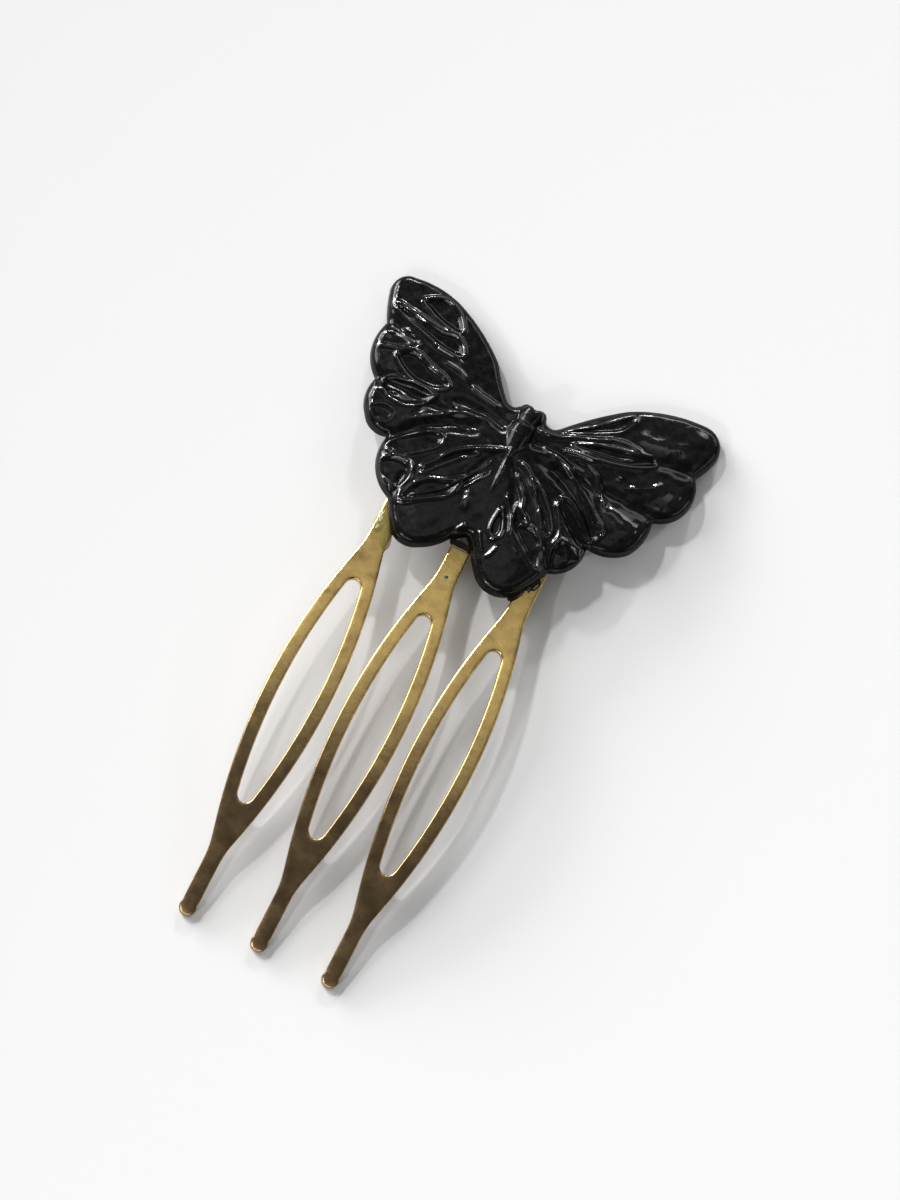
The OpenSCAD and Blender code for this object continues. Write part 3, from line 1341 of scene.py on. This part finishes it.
        Ridge(((12.8, 12.9), (12.4, 13.4)), 0.14, 0.25, 1),
        Ridge(((20.2, 18.1), (17.6, 17.6), (14.6, 17.0)), -0.34, 0.6),
        Ridge(((18.0, 11.2), (15.8, 11.2), (12.6, 11.0), (8.4, 10.6), (3.0, 10.6)), -0.45, 0.75),
        Ridge(((13.1, 5.2), (11.8, 6.8), (9.6, 8.6), (5.6, 10.4)), -0.5, 0.6),
        Ridge(((10.0, -0.5), (9.6, 0.8), (9.9, 2.4)), -0.3, 0.5),
        Ridge(((1.4, 12.2), (5.0, 12.7), (9.0, 12.6)), -0.4, 0.55),
        Ridge(((0.7, 9.2), (2.2, 7.0), (2.9, 4.6), (2.9, 2.6)), -0.25, 0.5),
    )

    def outline(self) -> np.ndarray:
        """Gives the closed outline, anticlockwise, from arcs between the notches.

        Two small round stubs make the top of the head, a little right of the middle.

        Returns:
            The closed outline.
        """
        stubs = np.vstack(
            [
                arc((-1.35, 16.0), (0.35, 16.1), 0.72, 16),
                arc((0.35, 16.1), (2.1, 16.0), 0.72, 16),
            ]
        )
        right = np.vstack([arc(p, q, b) for p, q, b in self.right])
        left = np.vstack([arc(p, q, b) for p, q, b in self.left]) * [-1, 1]
        loop = np.vstack([stubs, right, [[0.0, -0.7]], left[::-1]])
        return even_loop(loop[::-1], self.step, self.soften)

    def relief(self, points: np.ndarray, edge_gap: np.ndarray) -> np.ndarray:
        """Gives the casting's height over its back.

        A low dome carries the cells, ridges and furrows. The body is a turned form joined to
        it by a soft maximum, and a rounded margin brings the whole down to the side wall.

        Args:
            points: Array of n by 2.
            edge_gap: Each point's distance to the outline.

        Returns:
            An array of n heights.
        """
        reach = np.linalg.norm(points - np.array(self.hub), axis=1)
        height = self.wing_t + self.hub_t * np.exp(-((reach / self.hub_r) ** 2))
        height = height + self.pillow * smooth_step(edge_gap / self.pillow_w)
        height = height + self.veins(points)
        x, y = points.T
        waves = np.sin(1.9 * x + 0.7 * y) * np.sin(1.3 * y - 0.8 * x)
        height = height + self.swell * waves + self.ripple * np.sin(3.1 * x - 2.3 * y)
        height = np.maximum(height, self.edge_z + self.least)
        body = self.body.height(points)
        height = self.blend * np.logaddexp(height / self.blend, body / self.blend)
        share = 1 - np.clip(edge_gap / self.margin, 0, 1)
        rounding = np.sqrt(np.maximum(1 - share**2, 0))
        return self.edge_z + (height - self.edge_z) * rounding

    def veins(self, points: np.ndarray) -> np.ndarray:
        """Sums the cells, ridges and furrows at points folded onto one wing.

        Args:
            points: Array of n by 2.

        Returns:
            An array of n heights.
        """
        folded = np.column_stack([np.abs(points[:, 0]), points[:, 1]])
        side = np.where(points[:, 0] < 0, -1, 1)
        return sum(shape.raised(folded, side) for shape in self.cells + self.ridges)

    def build(self, material: bpy.types.Material) -> bpy.types.Object:
        """Builds the casting as one closed surface on rays from the hub.

        A point at share t of a ray lies at hub + t * reach, where reach is the outline's
        distance along that ray, and its height is the relief. The shares crowd towards the
        outline. The wall and the flat back close it, and raised veins are marked for polish.

        Args:
            material: The resin finish.

        Returns:
            The butterfly's object.
        """
        hub = np.array(self.hub)
        closed = self.outline()
        closed = np.vstack([closed, closed[:1]])
        along = np.r_[0, np.cumsum(np.linalg.norm(np.diff(closed, axis=0), axis=1))]
        at = np.linspace(0, along[-1], self.rays, endpoint=False)
        rim = np.column_stack([np.interp(at, along, closed[:, k]) for k in (0, 1)])
        shares = np.linspace(0, 1, self.rings + 1)[1:]
        shares = shares + self.crowd * shares * (1 - shares)
        plan = hub + shares[:, None, None] * (rim - hub)[None]
        flat = plan.reshape(-1, 2)
        gap, _ = nearest_on_path(flat, closed[::3])
        gap.reshape(self.rings, self.rays)[-1] = 0
        top = np.column_stack([flat, self.relief(flat, gap)])
        hub_z = self.relief(hub[None], np.array([self.pillow_w]))[0]
        middle = np.array([[*hub, hub_z]])
        normal = outward_normals(rim)
        wall = [
            np.column_stack(
                [rim + normal * self.draft * k, np.full(self.rays, self.edge_z * z)]
            )
            for k, z in self.wall
        ]
        back = [
            np.column_stack([hub + s * (rim - hub), np.zeros(self.rays)])
            for s in (1.0, 0.6, 0.15)
        ]
        points = np.vstack([middle, top] + wall + back + [np.array([[*hub, 0.0]])])
        points[:, 2] += REST.bond_t
        polish = smooth_step(self.veins(points[:, :2]) / self.crest)
        ring_count = self.rings + len(wall) + len(back)
        return make_piece(
            "cast_butterfly",
            points,
            capped_faces(ring_count, self.rays),
            material,
            ["butterfly"],
            {"polish": polish},
        )


# ------------------------------------------------------------ the adhesive


@dataclass(frozen=True)
class AdhesiveDab:
    """A dab of adhesive squeezed out round one root.

    Attributes:
        name: The piece's name.
        node: CAD node that it stands for.
        centre: Middle of the dab in the spine's plane.
        reach: Distances to its edge at even turns from +X, anticlockwise.
        top: Height over the sheet.
        under: Depth below the sheet's front face.
        rays: Number of rays round the dab.
        rings: Number of rings on its upper half.
    """

    name: str
    node: str
    centre: tuple[float, float]
    reach: tuple[float, ...]
    top: float = 0.75
    under: float = 0.8
    rays: int = 96
    rings: int = 22

    def build(self, material: bpy.types.Material) -> bpy.types.Object:
        """Builds the dab as a closed low dome over a shallower one.

        The edge is a smooth periodic curve through the reaches. At share t of the way to it
        the upper height is top * (1 - t^2)^0.75, which runs thin at the edge, and the lower one
        is under * (1 - t^2)^0.25.

        Args:
            material: The adhesive finish.

        Returns:
            The dab's object.
        """
        count = len(self.reach)
        turn = np.linspace(0, 2 * math.pi, self.rays, endpoint=False)
        waves = np.fft.rfft(self.reach) / count
        edge = np.full(self.rays, waves[0].real)
        for k in range(1, len(waves)):
            share = 1 if 2 * k == count else 2
            edge = edge + share * np.real(waves[k] * np.exp(1j * k * turn))
        swing = np.linspace(0, math.pi / 2, self.rings)[1:]
        ray = np.column_stack([np.cos(turn), np.sin(turn)]) * edge[:, None]
        rows = [
            np.column_stack(
                [
                    np.array(self.centre) + ray * math.sin(a),
                    np.full(self.rays, self.top * math.cos(a) ** 1.5),
                ]
            )
            for a in swing
        ]
        rows += [
            np.column_stack(
                [
                    np.array(self.centre) + ray * math.sin(a),
                    np.full(self.rays, -self.under * math.cos(a) ** 0.5),
                ]
            )
            for a in swing[:-1][::-1]
        ]
        points = np.vstack(
            [[[*self.centre, self.top]]] + rows + [[[*self.centre, -self.under]]]
        )
        points[:, 2] += REST.bend(points[:, :2], np.zeros(len(points)))[:, 2]
        faces = capped_faces(len(rows), self.rays)
        return make_piece(
            self.name, points, faces, material, [self.node]
        )


# --------------------------------------------------------------- the studio


@dataclass(frozen=True)
class Lamp:
    """A flat lamp that faces the object or hangs level over it.

    Attributes:
        name: Its name.
        place: Its place in metres.
        width: Its side across.
        height: Its side along.
        glow: Radiance of its face.
        level: Whether it hangs level instead of facing the object.
    """

    name: str
    place: tuple[float, float, float]
    width: float
    height: float
    glow: float
    level: bool = False

    def build(self) -> None:
        """Adds the lamp, with the power that gives its face the wanted radiance."""
        light = bpy.data.lights.new(self.name, "AREA")
        light.shape = "RECTANGLE"
        light.size, light.size_y = self.width, self.height
        light.energy = self.glow * math.pi * self.width * self.height
        lamp = bpy.data.objects.new(self.name, light)
        lamp.location = self.place
        if not self.level:
            lamp.rotation_euler = Vector(self.place).to_track_quat("Z", "Y").to_euler()
        bpy.context.scene.collection.objects.link(lamp)


@dataclass(frozen=True)
class Studio:
    """Pale table, plain soft light and a camera over the object.

    Attributes:
        distance: Camera's distance from its aim.
        aim: Point that the camera looks at, in metres.
        lean_x: Camera's lean to the left of upright, in degrees.
        lean_y: Camera's lean towards the prong tips, in degrees.
        roll: Turn of the picture, in degrees.
        view: Height of the view, in degrees.
        paper: Reflectance of the table under the object.
        painted_light_slope: How fast that rises to the front right, per metre, as painted light
            that brightens the table there.
        painted_light_swing: Most that the painted light changes it by.
        room: Brightness of the room round the lamps.
        half: Half the table's side, in metres.
    """

    distance: float = 0.283
    aim: tuple[float, float, float] = (0.00152, 0.0063, 0.004)
    lean_x: float = 0.9
    lean_y: float = 8.0
    roll: float = -26.84
    view: float = 27.15
    paper: float = 0.52
    painted_light_slope: tuple[float, float, float] = (1.45, -0.65, 0.0)
    painted_light_swing: float = 0.2
    room: float = 0.10
    half: float = 3.0
    lamps: tuple = (
        Lamp("left_panel", (-0.50, 0.12, 0.25), 0.42, 0.26, 11.0),
        Lamp("left_low", (-0.50, 0.24, 0.13), 0.36, 0.12, 29.0),
        Lamp("back_panel", (0.05, 0.56, 0.25), 0.60, 0.16, 4.0),
        Lamp("front_panel", (-0.05, -0.50, 0.34), 0.50, 0.16, 4.0),
        Lamp("right_panel", (0.54, 0.04, 0.30), 0.45, 0.16, 2.0),
        Lamp("left_spot", (-0.38, 0.24, 0.40), 0.037, 0.037, 440.0),
        Lamp("back_spot", (-0.14, 0.54, 0.24), 0.06, 0.028, 250.0),
        Lamp("front_spot", (-0.20, -0.40, 0.36), 0.026, 0.026, 290.0),
        Lamp("left_high", (-0.22, 0.10, 0.54), 0.16, 0.12, 1.9, True),
        Lamp("canopy", (0.02, 0.118, 0.55), 0.30, 0.235, 0.74, True),
    )

    def build(self) -> None:
        """Builds the table, the light and the camera."""
        self.table()
        for lamp in self.lamps:
            lamp.build()
        world = bpy.data.worlds.new("room")
        world.use_nodes = True
        background = world.node_tree.nodes["Background"]
        background.inputs["Color"].default_value = (1.0, 1.0, 1.0, 1.0)
        background.inputs["Strength"].default_value = self.room
        bpy.context.scene.world = world
        bpy.context.scene.view_settings.view_transform = "Standard"
        self.camera()

    def table(self) -> None:
        """Adds the plain pale table top, a matt white paper with painted light that makes it a
        little brighter at the front.
        """
        half, swing = self.half, self.painted_light_swing
        mesh = bpy.data.meshes.new("table")
        mesh.from_pydata(
            [(-half, -half, 0), (half, -half, 0), (half, half, 0), (-half, half, 0)],
            [],
            [(0, 1, 2, 3)],
        )
        paper, tree, shader, place = start_material("matt white paper")
        # Painted light: the paper's colour rises towards the front right, standing in for more
        # light falling there.
        slope = add_node(
            tree,
            "ShaderNodeVectorMath",
            {"operation": "DOT_PRODUCT", 1: self.painted_light_slope},
            {0: place},
        ).outputs["Value"]
        shade = add_node(
            tree,
            "ShaderNodeMapRange",
            {1: -swing, 2: swing, 3: self.paper - swing, 4: self.paper + swing},
            {"Value": slope},
        ).outputs["Result"]
        tree.links.new(shade, shader.inputs["Base Color"])
        shader.inputs["Roughness"].default_value = 0.9
        shader.inputs["Specular IOR Level"].default_value = 0.1
        mesh.materials.append(paper)
        table = bpy.data.objects.new("table", mesh)
        bpy.context.scene.collection.objects.link(table)
        table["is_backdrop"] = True

    def camera(self) -> None:
        """Adds the camera, leaning from upright and turned about its own axis."""
        lean_x, lean_y = math.radians(self.lean_x), math.radians(self.lean_y)
        toward = Vector((-math.tan(lean_x), -math.tan(lean_y), 1.0)).normalized()
        turn = math.radians(self.roll)
        right = Vector((math.sin(turn), math.cos(turn), 0)).cross(toward).normalized()
        up = toward.cross(right)
        place = Vector(self.aim) + toward * self.distance
        camera = bpy.data.cameras.new("camera")
        camera.sensor_fit = "VERTICAL"
        camera.angle = math.radians(self.view)
        camera.clip_start = 0.01
        shot = bpy.data.objects.new("camera", camera)
        turn_matrix = Matrix((right, up, toward)).transposed().to_4x4()
        shot.matrix_world = Matrix.Translation(place) @ turn_matrix
        bpy.context.scene.collection.objects.link(shot)
        bpy.context.scene.camera = shot


# --------------------------------------------------------------------- main


@dataclass(frozen=True)
class HairComb:
    """The whole ornament: comb, butterfly and the adhesive between them."""

    comb: StampedComb = field(default_factory=StampedComb)
    butterfly: CastButterfly = field(default_factory=CastButterfly)
    dabs: tuple = (
        AdhesiveDab(
            "adhesive_left",
            "glue_left",
            (-8.9, -3.6),
            (1.25, 1.4, 1.7, 2.0, 2.1, 1.9, 1.6, 1.4, 1.35, 1.4, 1.5, 1.6, 1.9, 3.1, 1.9, 1.4),
            top=0.55,
        ),
        AdhesiveDab(
            "adhesive_middle",
            "glue_middle",
            (-0.1, -0.9),
            (1.7, 1.75, 1.8, 1.8, 1.8, 1.8, 1.8, 1.75, 1.7, 1.7, 1.8, 1.6, 1.5, 1.6, 1.8, 1.7),
            top=0.55,
        ),
        AdhesiveDab(
            "adhesive_right",
            "glue_right",
            (8.7, -2.4),
            (1.1, 1.4, 1.6, 1.7, 1.7, 1.7, 1.6, 1.5, 1.5, 1.6, 2.0, 2.9, 1.1, 0.8, 0.8, 0.9),
            top=0.45,
        ),
    )

    def build(self) -> None:
        """Builds every piece with its finish."""
        self.comb.build(StampedBrass().material())
        self.butterfly.build(CastResin().material())
        clear = SetAdhesive("clear adhesive", "6b6330", 0.5).material()
        # Painted reflection: the middle and right dabs get a nearly opaque dark brown, standing
        # in for clear glue that looks dark from the black casting seen through it.
        dark = SetAdhesive("dark adhesive", "1a150c", 0.92).material()
        for dab, finish in zip(self.dabs, (clear, dark, dark)):
            dab.build(finish)


def main() -> None:
    """Builds the studio and the ornament."""
    logging.basicConfig(level=logging.INFO, format="%(name)s: %(message)s")
    Studio().build()
    HairComb().build()


if __name__ == "__main__":
    main()
